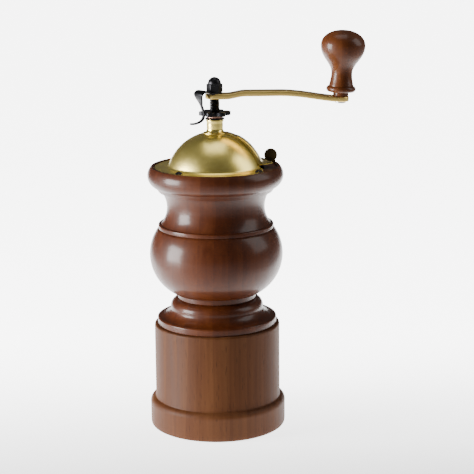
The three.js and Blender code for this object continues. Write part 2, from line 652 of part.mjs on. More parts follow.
// Lock clip: a plate under the nut that arches up, then the leg, which flexes
// at the crown of the arch and ends in a curled finger tail
{
  const clip = frameAt(clipZ, CLIP_AZIMUTH);
  const middle = CLIP_SHEET / 2;
  const crown = middle + CLIP_ARCH;

  // A strip of the clip's sheet along a curve in X and Z.
  function strip(points, steps, from = 0, to = 1) {
    const curve = new THREE.SplineCurve(points.map(([x, z]) => new THREE.Vector2(x, z)));
    const sides = [1, -1].map((side) => Array.from({ length: steps + 1 }, (_, i) => {
      const t = THREE.MathUtils.lerp(from, to, i / steps);
      const [spot, way] = [curve.getPoint(t), curve.getTangent(t)];
      return [spot.x - side * middle * way.y, spot.y + side * middle * way.x];
    }));
    return sideways(outline([...sides[1], ...sides[0].reverse()]), CLIP_WIDTH);
  }

  const plateShape = new THREE.Shape();
  plateShape.absarc(0, 0, CLIP_WIDTH / 2, Math.PI / 2, 3 * Math.PI / 2);
  plateShape.lineTo(CLIP_SPLIT - FIT_GAP / 2, -CLIP_WIDTH / 2);
  plateShape.lineTo(CLIP_SPLIT - FIT_GAP / 2, CLIP_WIDTH / 2);
  const flat = outline([[-CLIP_WIDTH, 0], [5.4, 0], [5.4, CLIP_SHEET], [-CLIP_WIDTH, CLIP_SHEET]]);
  const arch = strip([[5.3, middle], [6.1, middle + 0.15], [7.6, crown - 0.3], [CLIP_SPLIT, crown], [11, crown]], 10);
  const bore = ring(0, SHAFT_RADIUS + FIT_GAP, -3, 5);
  const plate = join(sideways(flat, CLIP_WIDTH), arch);
  place('lock_clip', cut(common(plate, prism(plateShape, -3, 5)), bore), blackSteel, clip);

  // The leg's route, as reach from the shaft and height from the clip's underside
  const notchReach = NOTCH_RADIUS + 2 * FIT_GAP + middle + SEAM_GAP;
  const route = [
    [CLIP_SPLIT + FIT_GAP, crown], [CLIP_SPLIT + 1.9, crown - 0.4], [12.1, 0.3], [11.8, -1.8],
    [10.9, -4], [10.1, -6.3], [9.2, -8.8], [notchReach, -11.2], [notchReach, -13.6], [9.7, -15.8],
    [12, -17], [15, -17.6], [18.2, -17.5],
  ];
  const face = outline([
    [-CLIP_WIDTH / 2, 4], [-CLIP_WIDTH / 2, 0.6], [-CLIP_LEG_WIDTH / 2, -6.5], [-CLIP_LEG_WIDTH / 2, -20],
    [CLIP_LEG_WIDTH / 2, -20], [CLIP_LEG_WIDTH / 2, -6.5], [CLIP_WIDTH / 2, 0.6], [CLIP_WIDTH / 2, 4],
  ]);
  const taper = new THREE.ExtrudeGeometry(face, { depth: 30, bevelEnabled: false })
    .rotateX(Math.PI / 2).rotateZ(Math.PI / 2);
  place('lock_leg', common(strip(route, 26), taper), blackSteel, clip);
}

// Cap nut: a hexagon with a domed end, blind bored
{
  const hexTop = nutZ + NUT_HEX_HEIGHT;
  const corner = NUT_FLATS / Math.sqrt(3);
  const bevel = turned([
    [0, nutZ], [corner - 0.4, nutZ], [corner, nutZ + 0.4], [corner, hexTop - 0.5], [corner - 0.5, hexTop],
    [0, hexTop],
  ], CAST_SIDES);
  const dome = turned([
    [0, nutZ + 1], [NUT_DOME_RADIUS, nutZ + 1], ...sweep(0, hexTop + 0.1, NUT_DOME_RADIUS, 0, 90, 5),
  ]);
  const bore = ring(0, SHAFT_RADIUS + SEAM_GAP, nutZ - 1, nutZ + SHAFT_END + FIT_GAP);
  const hex = common(hexagon(NUT_FLATS, nutZ, hexTop), bevel);
  place('cap_nut', cut(join(hex, dome), bore), blackSteel);
}

// Knob and the spindle it turns on, square to the sloping end of the arm
{
  const end = frameAt(armZ - ARM_DROP);
  end.position.x = ARM_LENGTH;
  end.rotation.y = radians(KNOB_TILT);
  const base = ARM_THICKNESS + FIT_GAP;
  const at = (height) => ARM_THICKNESS + height;

  const head = -FIT_GAP - SPINDLE_HEAD;
  place('knob_spindle', turned([
    [0, head], [SPINDLE_HEAD_RADIUS - 0.9, head], [SPINDLE_HEAD_RADIUS, head + 0.5],
    [SPINDLE_HEAD_RADIUS, -FIT_GAP], [SPINDLE_RADIUS, -FIT_GAP], [SPINDLE_RADIUS, at(SPINDLE_LENGTH)],
    [0, at(SPINDLE_LENGTH)],
  ], 16), steel, end);

  const side = new THREE.Path();
  side.moveTo(KNOB_NECK_RADIUS + 1.1, at(KNOB_BEAD + KNOB_BEAD_HALF + 0.4));
  side.quadraticCurveTo(KNOB_NECK_RADIUS - 0.1, at(KNOB_NECK - 3), KNOB_NECK_RADIUS, at(KNOB_NECK));
  side.bezierCurveTo(KNOB_NECK_RADIUS + 0.2, at(KNOB_NECK + 6), KNOB_RADIUS, at(KNOB_WIDEST - 8),
    KNOB_RADIUS, at(KNOB_WIDEST));
  side.bezierCurveTo(KNOB_RADIUS, at(KNOB_WIDEST + 5.6), KNOB_RADIUS * 0.6, at(KNOB_HEIGHT),
    0, at(KNOB_HEIGHT));
  const beadLow = [KNOB_BEAD_RADIUS - 1.9, at(KNOB_BEAD - KNOB_BEAD_HALF)];
  const beadHigh = [KNOB_BEAD_RADIUS - 1.5, at(KNOB_BEAD + KNOB_BEAD_HALF)];
  const bore = SPINDLE_RADIUS + FIT_GAP;
  const boreTop = at(SPINDLE_LENGTH) + FIT_GAP;
  place('hand_knob', turned([
    [bore, base],
    [KNOB_FOOT_RADIUS - 0.3, base],
    [KNOB_FOOT_RADIUS, at(KNOB_BEAD - KNOB_BEAD_HALF - 0.4)],
    beadLow,
    ...arc(beadLow, beadHigh, 1.7, 4),
    ...side.getPoints(5).map((point) => [point.x, point.y]),
    [0, boreTop],
    [bore, boreTop],
    [bore, base],
  ]), lacqueredWood, end);
}

// Burr holder: a flanged sleeve with a lip and a three-armed bridge, whose hub
// guides the shaft
const hubBore = SHAFT_RADIUS + FIT_GAP + HUB_BUSH_WALL + SEAM_GAP;
{
  const low = spigotZ - HOLDER_FLANGE;
  const sleeve = turned([
    [sleeveInner, low],
    [HOLDER_FLANGE_RADIUS, low],
    [HOLDER_FLANGE_RADIUS, spigotZ],
    [SLEEVE_RADIUS, spigotZ],
    [SLEEVE_RADIUS, bridgeZ + SLEEVE_LIP],
    [SLEEVE_LIP_RADIUS, bridgeZ + SLEEVE_LIP],
    [SLEEVE_LIP_RADIUS, bridgeZ],
    [sleeveInner, bridgeZ],
    [sleeveInner, low],
  ], CAST_SIDES);
  const armTop = bridgeZ + BRIDGE_ARM_HEIGHT;
  const armReach = SLEEVE_LIP_RADIUS + 1;
  const arms = Array.from({ length: BRIDGE_ARMS }, (_, i) =>
    block([0, -BRIDGE_ARM_WIDTH / 2, bridgeZ], [armReach, BRIDGE_ARM_WIDTH / 2, armTop])
      .rotateZ(radians(30 + 360 * i / BRIDGE_ARMS)));
  const hub = ring(0, HUB_RADIUS, bridgeZ, bridgeZ + HUB_HEIGHT);
  const bore = ring(0, hubBore, bridgeZ - 1, bridgeZ + HUB_HEIGHT + 1);
  const screwHoles = HOLDER_SCREW_AZIMUTHS.map((azimuth) =>
    ring(0, HOLDER_SCREW.shank + FIT_GAP, low - PLATE_THICKNESS - 1, spigotZ + 1, SCREW_SIDES)
      .translate(...polar(HOLDER_SCREW_CIRCLE, azimuth), 0));
  place('burr_holder', cut(join(sleeve, ...arms, hub), bore, ...screwHoles), steel);

  const plate = ring(PLATE_HOLE_RADIUS, HOLDER_FLANGE_RADIUS, low - PLATE_THICKNESS, low, CAST_SIDES);
  place('retaining_plate', cut(plate, ...screwHoles), steel);
  HOLDER_SCREW_AZIMUTHS.forEach((azimuth, i) => {
    const mesh = place(`holder_screw_${i + 1}`, screw(HOLDER_SCREW), steel);
    mesh.position.set(...polar(HOLDER_SCREW_CIRCLE, azimuth), low - PLATE_THICKNESS);
    mesh.rotation.x = Math.PI;
  });

  const bushTop = bridgeZ + HUB_HEIGHT;
  const inner = SHAFT_RADIUS + FIT_GAP;
  place('bridge_bush', turned([
    [inner, bridgeZ],
    [inner + HUB_BUSH_WALL, bridgeZ],
    [inner + HUB_BUSH_WALL, bushTop],
    [HUB_RADIUS - 0.6, bushTop],
    [HUB_RADIUS - 0.6, bushTop + HUB_BUSH_FLANGE],
    [inner, bushTop + HUB_BUSH_FLANGE],
    [inner, bridgeZ],
  ]), bronze);
}

// A ring-shaped solid whose inner and outer faces are given by radius functions
// of an angle in turns and a height from 0 to 1.
function toothed(outer, inner, low, high, around, levels) {
  const positions = [];
  const index = [];
  const spot = (level, i, side) => (level * around + i % around) * 2 + side;
  for (let level = 0; level <= levels; level += 1) {
    for (let i = 0; i < around; i += 1) {
      for (const radius of [outer, inner]) {
        const size = radius(i / around, level / levels, i);
        positions.push(...polar(size, 360 * i / around), THREE.MathUtils.lerp(low, high, level / levels));
      }
    }
  }
  const quad = (a, b, c, d) => index.push(a, b, c, a, c, d);
  for (let i = 0; i < around; i += 1) {
    for (let level = 0; level < levels; level += 1) {
      quad(spot(level, i, 0), spot(level, i + 1, 0), spot(level + 1, i + 1, 0), spot(level + 1, i, 0));
      quad(spot(level, i + 1, 1), spot(level, i, 1), spot(level + 1, i, 1), spot(level + 1, i + 1, 1));
    }
    quad(spot(0, i + 1, 0), spot(0, i, 0), spot(0, i, 1), spot(0, i + 1, 1));
    quad(spot(levels, i, 0), spot(levels, i + 1, 0), spot(levels, i + 1, 1), spot(levels, i, 1));
  }
  const geometry = new THREE.BufferGeometry();
  geometry.setAttribute('position', new THREE.Float32BufferAttribute(positions, 3));
  geometry.setIndex(index);
  return geometry;
}

// Ring burr, with straight teeth that narrow towards the bottom
{
  const low = spigotZ - HOLDER_FLANGE + FIT_GAP;
  const high = bridgeZ - FIT_GAP;
  const mouth = (turn, rise, i) =>
    THREE.MathUtils.lerp(RING_BURR_BOTTOM_RADIUS, RING_BURR_TOP_RADIUS, rise) - (i % 2) * RING_BURR_TOOTH;
  const back = () => sleeveInner - FIT_GAP;
  place('ring_burr', toothed(back, mouth, low, high, 2 * RING_BURR_TEETH, 1), steel);
}

// Cone burr: coarse twisted ridges above, which feed the fine teeth below
{
  const face = (turn, rise, i) => {
    const size = THREE.MathUtils.lerp(CONE_BOTTOM_RADIUS, CONE_TOP_RADIUS, rise);
    const ridge = (turn * CONE_RIDGES + rise * CONE_TWIST * CONE_RIDGES / 360) % 1;
    const fine = (i % 2) * CONE_FINE_TOOTH * (1 - rise);
    return size - fine - CONE_RIDGE_DEPTH * smooth(0.15, 0.9, rise) * ridge;
  };
  const around = 2 * CONE_FINE_TEETH;
  const bore = () => SHAFT_RADIUS + RUN_GAP;
  place('cone_burr', toothed(face, bore, coneZ, coneZ + CONE_HEIGHT, around, 5), steel);
}

// Spring that presses the cone burr down, so that the disc sets its height
{
  const low = coneZ + CONE_HEIGHT + FIT_GAP + SPRING_WIRE;
  const high = bridgeZ - SPRING_PLAY - SPRING_WASHER - FIT_GAP - SPRING_WIRE;
  class Helix extends THREE.Curve {
    getPoint(t, target = new THREE.Vector3()) {
      const level = THREE.MathUtils.lerp(low, high, smooth(0.08, 0.92, t));
      return target.set(...polar(SPRING_RADIUS, 360 * SPRING_TURNS * t), level);
    }
  }
  const wire = outline(Array.from({ length: 5 }, (_, i) => polar(SPRING_WIRE, 72 * i)));
  const coil = new THREE.ExtrudeGeometry(wire, { steps: 8 * SPRING_TURNS, extrudePath: new Helix() });
  place('shaft_spring', coil, steel);
  const washerLow = bridgeZ - SPRING_PLAY - SPRING_WASHER;
  const bore = SHAFT_RADIUS + FIT_GAP;
  place('spring_washer', ring(bore, SPRING_RADIUS + 1, washerLow, washerLow + SPRING_WASHER, WASHER_SIDES), steel);
}

// Washer and nut that hold the cone burr on the shaft
{
  const washerLow = coneZ - FIT_GAP - BURR_WASHER;
  const bore = SHAFT_RADIUS + RUN_GAP;
  place('burr_washer', ring(bore, BURR_WASHER_RADIUS, washerLow, washerLow + BURR_WASHER, WASHER_SIDES), steel);
  const nut = hexagon(BURR_NUT_FLATS, burrNutZ, burrNutZ + BURR_NUT_HEIGHT);
  place('burr_nut', cut(nut, ring(0, bore, burrNutZ - 1, burrNutZ + BURR_NUT_HEIGHT + 1)), steel);
}

export default grinder;
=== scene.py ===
import math

import bmesh
import bpy
from mathutils import Matrix, Vector


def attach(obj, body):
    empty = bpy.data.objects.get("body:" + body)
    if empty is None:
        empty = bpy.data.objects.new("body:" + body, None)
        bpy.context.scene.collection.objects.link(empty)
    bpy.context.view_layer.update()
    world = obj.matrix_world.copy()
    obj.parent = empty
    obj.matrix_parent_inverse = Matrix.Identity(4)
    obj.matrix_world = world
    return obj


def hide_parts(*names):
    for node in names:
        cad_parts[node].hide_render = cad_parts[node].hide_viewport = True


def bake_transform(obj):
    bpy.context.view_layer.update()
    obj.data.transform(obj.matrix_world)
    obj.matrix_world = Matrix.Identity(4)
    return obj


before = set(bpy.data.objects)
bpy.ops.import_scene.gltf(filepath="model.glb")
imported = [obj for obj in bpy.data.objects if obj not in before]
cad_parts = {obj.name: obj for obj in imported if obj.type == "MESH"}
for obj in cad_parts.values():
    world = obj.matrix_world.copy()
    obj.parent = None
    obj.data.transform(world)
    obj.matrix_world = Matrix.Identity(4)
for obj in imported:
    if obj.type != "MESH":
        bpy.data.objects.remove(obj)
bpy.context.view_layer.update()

# Cup.
# The cup is one block of pale red-brown beech, turned to a plain cylinder on a
# wider foot and bored out to catch the grounds. It is stained and sealed with a
# satin varnish, so its grain shows and its sheen is soft.


def arc(a, b, height, steps):
    """Points of the arc from a to b, after a, that stands off its chord to the right."""
    half = math.dist(a, b) / 2
    along = ((b[0] - a[0]) / (2 * half), (b[1] - a[1]) / (2 * half))
    aside = (along[1], -along[0])
    radius = (half ** 2 + height ** 2) / (2 * height)
    reach = math.asin(half / abs(radius))
    points = []
    for i in range(1, steps + 1):
        turn = reach * (2 * i / steps - 1)
        points.append(tuple(
            (a[k] + b[k]) / 2 + aside[k] * (height - radius)
            + aside[k] * radius * math.cos(turn) + along[k] * abs(radius) * math.sin(turn)
            for k in (0, 1)))
    return points


def eased(points, steps=4):
    """An outline in mm whose corners with a third number are rounded by that radius."""
    out = []
    count = len(points)
    for i, point in enumerate(points):
        if len(point) < 3 or point[2] <= 0:
            out.append((point[0], point[1]))
            continue
        here = Vector(point[:2])
        back = (Vector(points[i - 1][:2]) - here)
        on = (Vector(points[(i + 1) % count][:2]) - here)
        inner = back.angle(on)
        cut = min(point[2] / math.tan(inner / 2), back.length * 0.49, on.length * 0.49)
        start = here + back.normalized() * cut
        end = here + on.normalized() * cut
        for k in range(steps + 1):
            t = k / steps
            spot = start * (1 - t) ** 2 + here * 2 * t * (1 - t) + end * t ** 2
            out.append((spot.x, spot.y))
    return out


def mesh_piece(name, points, faces, sharp=38):
    """A smooth-shaded object from points in mm, with edges above an angle kept sharp."""
    mesh = bpy.data.meshes.new(name)
    mesh.from_pydata([tuple(c / 1000 for c in p) for p in points], [], faces)
    mesh.validate()
    mesh.polygons.foreach_set("use_smooth", [True] * len(mesh.polygons))
    mesh.set_sharp_from_angle(angle=math.radians(sharp))
    piece = bpy.data.objects.new(name, mesh)
    bpy.context.collection.objects.link(piece)
    return piece


def lathe(name, section, around=160, closed=True, sharp=38, span=None):
    """A piece swept round Z. The section is an outline in mm, or gives one for each
    angle. An outline that starts and ends on the axis isn't closed. With a span of
    two angles, the sweep is part of a turn and its ends are capped."""
    outline_at = section if callable(section) else (lambda angle: section)
    first = outline_at(0 if span is None else span[0])
    on_axis = [abs(p[0]) < 1e-6 for p in first]
    points, rings = [], []
    steps = around if span is None else around + 1
    for j in range(steps):
        angle = 360 * j / around if span is None else span[0] + (span[1] - span[0]) * j / around
        turn = math.radians(angle)
        ring = []
        for k, (r, z) in enumerate(outline_at(angle)):
            if on_axis[k] and j:
                ring.append(rings[0][k])
                continue
            ring.append(len(points))
            points.append((r * math.cos(turn), r * math.sin(turn), z))
        rings.append(ring)
    faces = []
    levels = len(first)
    for j in range(around):
        here, there = rings[j], rings[(j + 1) % steps]
        for k in range(levels if closed else levels - 1):
            up = (k + 1) % levels
            corners = [here[k], there[k], there[up], here[up]]
            corners = [c for i, c in enumerate(corners) if c not in corners[:i]]
            if len(corners) > 2:
                faces.append(corners)
    if span is not None:
        faces.append(list(rings[0]))
        faces.append(list(reversed(rings[-1])))
    return mesh_piece(name, points, faces, sharp)


def new_material(name):
    material = bpy.data.materials.new(name)
    material.use_nodes = True
    tree = material.node_tree
    shader = tree.nodes["Principled BSDF"]
    return material, tree, shader


def add(tree, kind, settings=None, **inputs):
    """A node with its settings, and with each input set or linked, by name or as i and its number."""
    node = tree.nodes.new(kind)
    for key, value in (settings or {}).items():
        setattr(node, key, value)
    for key, value in inputs.items():
        numbered = key[0] == "i" and key[1:].isdigit()
        socket = node.inputs[int(key[1:]) if numbered else key.replace("_", " ")]
        if isinstance(value, bpy.types.NodeSocket):
            tree.links.new(value, socket)
        else:
            socket.default_value = value
    return node


def ramp(tree, source, stops):
    """A colour ramp over a source, from (place, colour) stops."""
    node = add(tree, "ShaderNodeValToRGB", i0=source)
    elements = node.color_ramp.elements
    while len(elements) < len(stops):
        elements.new(0.5)
    for element, (place, colour) in zip(elements, stops):
        element.position = place
        element.color = (*colour, 1) if len(colour) == 3 else colour
    return node.outputs["Color"]


def turned_wood(name, shades, gloss, coat, centre=(0, 0, 0), figure=1.0, pore=0.5, bump=0.02):
    """Wood with its grain along Z: growth bands that loop where a swelling is cut
    through, long streaks, and short dark pores. Shades run from dark to pale."""
    material, tree, shader = new_material(name)
    place = add(tree, "ShaderNodeTexCoord").outputs["Object"]
    along = add(tree, "ShaderNodeMapping", Vector=place, Location=centre, Scale=(1, 1, 0.16)).outputs[0]
    drift = add(tree, "ShaderNodeTexNoise", {"noise_dimensions": "3D"}, Vector=along, Scale=14,
                Detail=2,
                Roughness=0.5).outputs["Color"]
    bent = add(tree, "ShaderNodeVectorMath", {"operation": "MULTIPLY_ADD"}, i0=drift,
               i1=(0.03, 0.03, 0.03),
               i2=along).outputs[0]
    bands = add(tree, "ShaderNodeTexWave",
                {"wave_type": "BANDS", "bands_direction": "X", "wave_profile": "SAW"},
                Vector=bent, Scale=34, Distortion=1.4, Detail=2, Detail_Scale=1.2).outputs["Color"]
    fibre_place = add(tree, "ShaderNodeMapping", Vector=place, Scale=(1, 1, 0.035)).outputs[0]
    streaks = add(tree, "ShaderNodeTexNoise", Vector=fibre_place, Scale=260, Detail=5,
                  Roughness=0.62).outputs[0]
    cloud = add(tree, "ShaderNodeTexNoise", Vector=along, Scale=26, Detail=3, Roughness=0.55).outputs[0]
    mixed = add(tree, "ShaderNodeMix", {"data_type": "FLOAT"}, i0=0.34 * figure, i2=cloud,
                i3=bands).outputs[0]
    mixed = add(tree, "ShaderNodeMix", {"data_type": "FLOAT"}, i0=0.36, i2=mixed, i3=streaks).outputs[0]
    base = ramp(tree, mixed, [(0.25, shades[0]), (0.5, shades[1]), (0.76, shades[2])])
    pore_place = add(tree, "ShaderNodeMapping", Vector=place, Scale=(1, 1, 0.09)).outputs[0]
    pores = add(tree, "ShaderNodeTexVoronoi", {"feature": "F1"}, Vector=pore_place, Scale=950,
                Randomness=1).outputs[0]
    pore_mask = ramp(tree, pores, [(0.08, (1, 1, 1)), (0.24, (0, 0, 0))])
    pore_share = add(tree, "ShaderNodeMath", {"operation": "MULTIPLY"}, i0=pore_mask,
                     i1=pore).outputs[0]
    dark = tuple(c * 0.35 for c in shades[0])
    colour = add(tree, "ShaderNodeMix", {"data_type": "RGBA"}, i0=pore_share, i6=base,
                 i7=(*dark, 1)).outputs[2]
    tree.links.new(colour, shader.inputs["Base Color"])
    sheen = add(tree, "ShaderNodeMapRange", Value=streaks, i1=0.3, i2=0.7, i3=gloss - 0.05,
                i4=gloss + 0.07)
    tree.links.new(sheen.outputs[0], shader.inputs["Roughness"])
    height = add(tree, "ShaderNodeMath", {"operation": "SUBTRACT"}, i0=streaks,
                 i1=pore_share).outputs[0]
    relief = add(tree, "ShaderNodeBump", Strength=bump, Distance=0.001, Height=height).outputs[0]
    tree.links.new(relief, shader.inputs["Normal"])
    shader.inputs["Specular IOR Level"].default_value = 0.14
    shader.inputs["Coat Weight"].default_value = coat
    shader.inputs["Coat Roughness"].default_value = 0.2
    return material


def dress(piece, material, slot, body, *nodes):
    """The piece takes its material, rides on its body and stands for its CAD nodes."""
    piece.data.materials.clear()
    piece.data.materials.append(material)
    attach(piece, body)
    if nodes:
        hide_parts(*nodes)


cup_height, cup_radius, cup_bore, cup_floor = 67, 39.95, 33, 9
foot_radius, foot_height = 43.3, 18.3
foot_edge = (foot_radius, foot_height - 4.4)
foot_top = (cup_radius + 1, foot_height)
cup = lathe("cup_turning", eased([
    (0, 0.35),
    (34, 0.35, 0.5),
    (35, 0, 0.5),
    (foot_radius - 0.1, 0, 2.1),
    (foot_radius, 4),
    foot_edge,
    *arc(foot_edge, foot_top, 0.95, 8),
    (cup_radius + 0.3, foot_height + 0.35),
    (cup_radius, foot_height + 1.1),
    (cup_radius, cup_height, 1.5),
    (cup_bore, cup_height, 0.6),
    (cup_bore, cup_floor, 3),
    (0, cup_floor),
]), closed=False)
cup_wood = turned_wood("satin beech", ((0.026, 0.0072, 0.0020), (0.060, 0.0190, 0.0052),
                                       (0.106, 0.040, 0.0125)),
                       gloss=0.55, coat=0.0, centre=(0.011, 0.02, 0), figure=0.3, pore=0.5, bump=0.05)
dress(cup, cup_wood, "satin_wood", "cup", "base_cup")

# Upper body.
# The body is a second turning of the same wood, stained dark red-brown and
# lacquered to a high gloss. Its spigot drops into the cup, its bore takes the
# burrs and its wide top is the hopper for the beans.
body_base = 67
spigot, spigot_radius, sleeve_bore = 10, cup_bore - 0.3, 20.5
rabbet_floor, rabbet_radius = 99.7, 38.6
shoulder_foot, ovolo_foot = (36.8, 4.7), (29.4, 9.3)
ovolo_side, ovolo_top = (29.4, 10.3), (25.2, 16)
belly_foot, belly_top = (27.2, 20.2), (36.9, 61.2)
cove_foot, cove_top = (34.6, 64.5), (33.9, 85)
bead_foot, bead_top = (39, 88.6), (40.4, 101)
body_outline = eased([
    (sleeve_bore, -spigot, 0.3),
    (spigot_radius, -spigot, 0.8),
    (spigot_radius, 0),
    (37.9, 0, 0.6),
    (37.9, 4.2, 0.9),
    shoulder_foot,
    *arc(shoulder_foot, ovolo_foot, -1.3, 12),
    ovolo_side,
    *arc(ovolo_side, ovolo_top, 1.4, 14),
    (24.2, 16.35),
    (24.9, 16.7, 0.3),
    (24.9, 20, 0.5),
    belly_foot,
    *arc(belly_foot, belly_top, 9.6, 60),
    (36, 61.6),
    (36.4, 61.9, 0.3),
    (36.4, 64.5, 0.9),
    cove_foot,
    *arc(cove_foot, cove_top, -3.4, 26),
    (35.9, 85.4, 0.4),
    (37.9, 88.2, 0.4),
    bead_foot,
    *arc(bead_foot, bead_top, 3, 22),
    (rabbet_radius, 101, 0.5),
    (rabbet_radius, rabbet_floor, 0.2),
    (30.5, rabbet_floor, 0.3),
    (30.5, 93),
    (25.5, 83),
    (25.5, 41),
    (sleeve_bore, 29),
])
body = lathe("body_turning", [(r, z + body_base) for r, z in body_outline], around=192)
body_wood = turned_wood("gloss lacquered beech",
                        ((0.020, 0.0036, 0.0006), (0.050, 0.0100, 0.0012), (0.092, 0.022, 0.0028)),
                        gloss=0.5, coat=0.3, centre=(0.03, -0.012, 0.02), figure=0.35, pore=0.2,
                        bump=0.01)
dress(body, body_wood, "lacquered_wood", "mill", "upper_body")

# Cap.
# The cap is spun from one sheet of brass: a dome, a small round at its foot and a
# flat flange that lies in the body's rabbet. The filling hatch is sawn out of it,
# and the flange is cut off straight in front of the hatch.


def metal(name, shades, rough, lines=0.0, line_scale=1.0, around=True, spread=0.06, bump=0.03):
    """A worked metal whose tone and polish drift, with the fine lines that its tool
    left: round the axis where it was turned or spun, or along X where it was drawn."""
    material, tree, shader = new_material(name)
    place = add(tree, "ShaderNodeTexCoord").outputs["Object"]
    cloud = add(tree, "ShaderNodeTexNoise", Vector=place, Scale=55, Detail=4, Roughness=0.6).outputs[0]
    base = ramp(tree, cloud, [(0.3, shades[0]), (0.7, shades[1])])
    tree.links.new(base, shader.inputs["Base Color"])
    shader.inputs["Metallic"].default_value = 1.0
    specks = add(tree, "ShaderNodeTexNoise", Vector=place, Scale=420, Detail=3,
                 Roughness=0.6).outputs[0]
    drift = add(tree, "ShaderNodeMix", {"data_type": "FLOAT"}, i0=0.4, i2=cloud, i3=specks).outputs[0]
    sheen = add(tree, "ShaderNodeMapRange", Value=drift, i1=0.3, i2=0.7, i3=rough - spread / 2,
                i4=rough + spread)
    tree.links.new(sheen.outputs[0], shader.inputs["Roughness"])
    if lines:
        parts = add(tree, "ShaderNodeSeparateXYZ", Vector=place)
        if around:
            flat = add(tree, "ShaderNodeCombineXYZ", X=parts.outputs[0], Y=parts.outputs[1]).outputs[0]
            across = add(tree, "ShaderNodeVectorMath", {"operation": "LENGTH"},
                         i0=flat).outputs["Value"]
            key = add(tree, "ShaderNodeCombineXYZ", X=across, Y=parts.outputs[2]).outputs[0]
        else:
            key = add(tree, "ShaderNodeMapping", Vector=place, Scale=(0.02, 1, 1)).outputs[0]
        strokes = add(tree, "ShaderNodeTexNoise", Vector=key, Scale=2600 * line_scale, Detail=2,
                      Roughness=0.6).outputs[0]
        relief = add(tree, "ShaderNodeBump", Strength=lines, Distance=0.0002, Height=strokes)
    else:
        relief = add(tree, "ShaderNodeBump", Strength=bump, Distance=0.0003, Height=specks)
    tree.links.new(relief.outputs[0], shader.inputs["Normal"])
    return material


def upright(name, plan, low, high):
    """A four-sided prism that stands on its plan, as a tool for a cut."""
    return mesh_piece(name, [(x, y, z) for z in (low, high) for x, y in plan],
                      [(3, 2, 1, 0), (4, 5, 6, 7), (0, 1, 5, 4), (1, 2, 6, 5), (2, 3, 7, 6),
                       (3, 0, 4, 7)])


def cut_away(piece, tool):
    """The piece less the tool, which is thrown away."""
    boolean = piece.modifiers.new("cut", "BOOLEAN")
    boolean.operation = "DIFFERENCE"
    boolean.solver = "EXACT"
    boolean.object = tool
    settle(piece)
    bpy.data.objects.remove(tool)


def settle(piece):
    """The piece's modifiers become its mesh."""
    bpy.context.view_layer.update()
    finished = bpy.data.meshes.new_from_object(piece.evaluated_get(bpy.context.evaluated_depsgraph_get()))
    piece.modifiers.clear()
    old = piece.data
    piece.data = finished
    bpy.data.meshes.remove(old)
    finished.polygons.foreach_set("use_smooth", [True] * len(finished.polygons))
    finished.set_sharp_from_angle(angle=math.radians(38))


def sheet_outline(inner, thick, foot_round, foot_z, rim, hole, top, centre_z=-8.4, steps=34):
    """The section of a spun sheet: a sphere, a round at its foot, and a flat flange."""
    outer = inner + thick
    round_z = foot_z + thick + foot_round
    round_r = math.sqrt((outer + foot_round) ** 2 - (round_z - centre_z) ** 2)
    lean = math.atan2(round_z - centre_z, round_r)

    def sphere(radius, start, end, count):
        return [(radius * math.cos(start + (end - start) * i / count),
                 centre_z + radius * math.sin(start + (end - start) * i / count)) for i in range(count + 1)]

    def foot(radius, start, end, count):
        return [(round_r + radius * math.cos(start + (end - start) * i / count),
                 round_z + radius * math.sin(start + (end - start) * i / count)) for i in range(count + 1)]

    crest_in = math.asin((top - thick - centre_z) / inner)
    crest_out = math.asin((top - centre_z) / outer)
    floor = 1.5 * math.pi
    return [
        (hole, top - thick),
        *sphere(inner, crest_in, lean, steps),
        *foot(foot_round + thick, math.pi + lean, floor, 10)[1:],
        (rim - 0.3, foot_z), (rim - 0.09, foot_z + 0.09), (rim, foot_z + thick / 2),
        (rim - 0.09, foot_z + thick - 0.09), (rim - 0.3, foot_z + thick),
        *foot(foot_round, floor, math.pi + lean, 10),
        *sphere(outer, lean, crest_out, steps)[1:],
        (hole, top),
    ]


cap_base = body_base + rabbet_floor
dome_radius, cap_sheet, flange_radius, pad_rise = 31.2, 0.9, 38.3, 21.757
cap = lathe("spun_cap", [(r, z + cap_base) for r, z in sheet_outline(
    dome_radius - cap_sheet, cap_sheet, 2, 0, flange_radius, 5, pad_rise)], around=220)
hatch_half, hatch_top, chord = math.radians(20), 10.5, 29.3
low, high = cap_base - 1, cap_base + pad_rise + 2
inner = (hatch_top * math.cos(hatch_half), hatch_top * math.sin(hatch_half))
outer = (60, 60 * math.tan(hatch_half))
plan = [(inner[0], -inner[1]), (outer[0], -outer[1]), outer, inner]
cut_away(cap, upright("hatch", plan, low, high))
plan = [(chord, -60), (80, -60), (80, 60), (chord, 60)]
cut_away(cap, upright("front", plan, low, cap_base + 10))
spun_brass = metal("spun brass", ((0.90, 0.71, 0.18), (0.95, 0.78, 0.24)), rough=0.3, lines=0.05,
                   spread=0.05)
dress(cap, spun_brass, "brass", "mill", "dome_cap")

# Cap screws.
# Four round-head wood screws of blackened steel hold the flange down. Each head
# has one slot, left at its own angle by the screwdriver.


